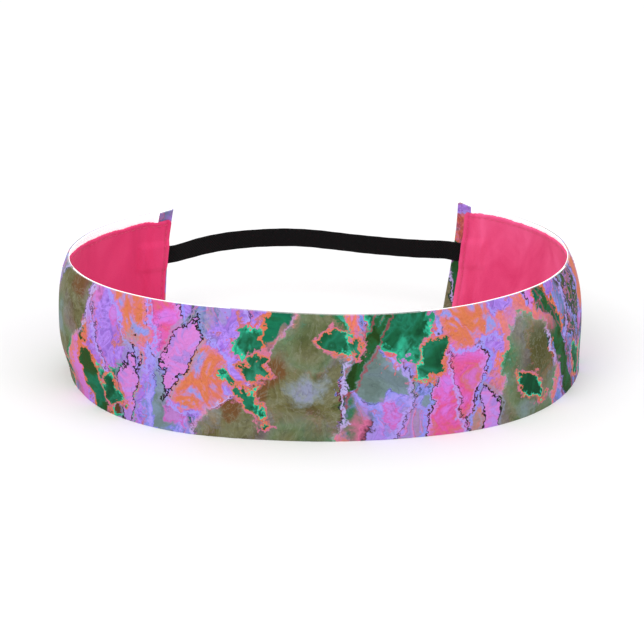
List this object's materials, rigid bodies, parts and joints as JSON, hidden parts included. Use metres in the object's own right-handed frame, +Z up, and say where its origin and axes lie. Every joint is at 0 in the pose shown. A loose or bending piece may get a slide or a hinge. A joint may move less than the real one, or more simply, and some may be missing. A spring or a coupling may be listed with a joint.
{
  "type": "sports headband",
  "caption": "Wide sports headband: a marbled ribbon cover lined with velvet, closed at the back by a narrow braided elastic, standing on its lower edge.",
  "frame": {"origin": "centre of the loop on the surface that the lower edge rests on", "axes": "+Z up, across the band's width; -Y towards the forehead; +Y towards the elastic at the back of the head; +X to the right as seen from in front"},
  "size_m": [0.2096, 0.1478, 0.0508],
  "materials": {
    "printed_ribbon": "smooth printed ribbon, marbled lilac, teal, coral and olive on the outer face, white on the back",
    "velvet": "short pile velvet, hot pink",
    "elastic": "braided elastic with fine lengthwise ribs, black",
    "needle_thread": "spun polyester sewing thread, pink",
    "bobbin_thread": "fine clear thread that takes the colour of the print under it"
  },
  "bodies": {
    "left_half": {"cover_left": "printed_ribbon", "lining_left": "velvet", "top_seam_needle_thread_left": "needle_thread", "top_seam_bobbin_thread_left": "bobbin_thread", "bottom_seam_needle_thread_left": "needle_thread", "bottom_seam_bobbin_thread_left": "bobbin_thread", "end_seam_needle_thread_left": "needle_thread", "end_seam_bobbin_thread_left": "bobbin_thread", "elastic_strap": "elastic"},
    "right_half": {"cover_right": "printed_ribbon", "lining_right": "velvet", "top_seam_needle_thread_right": "needle_thread", "top_seam_bobbin_thread_right": "bobbin_thread", "bottom_seam_needle_thread_right": "needle_thread", "bottom_seam_bobbin_thread_right": "bobbin_thread", "end_seam_needle_thread_right": "needle_thread", "end_seam_bobbin_thread_right": "bobbin_thread"}
  },
  "joints": [
    {"name": "band_spread", "type": "hinge", "parent": "left_half", "child": "right_half", "pos_m": [0.0007, -0.0744, 0], "axis": [0, 0, -1], "range_deg": [0, 26], "stiffness_Nm_per_rad": 0.8, "deforming": ["elastic_strap"]}
  ]
}
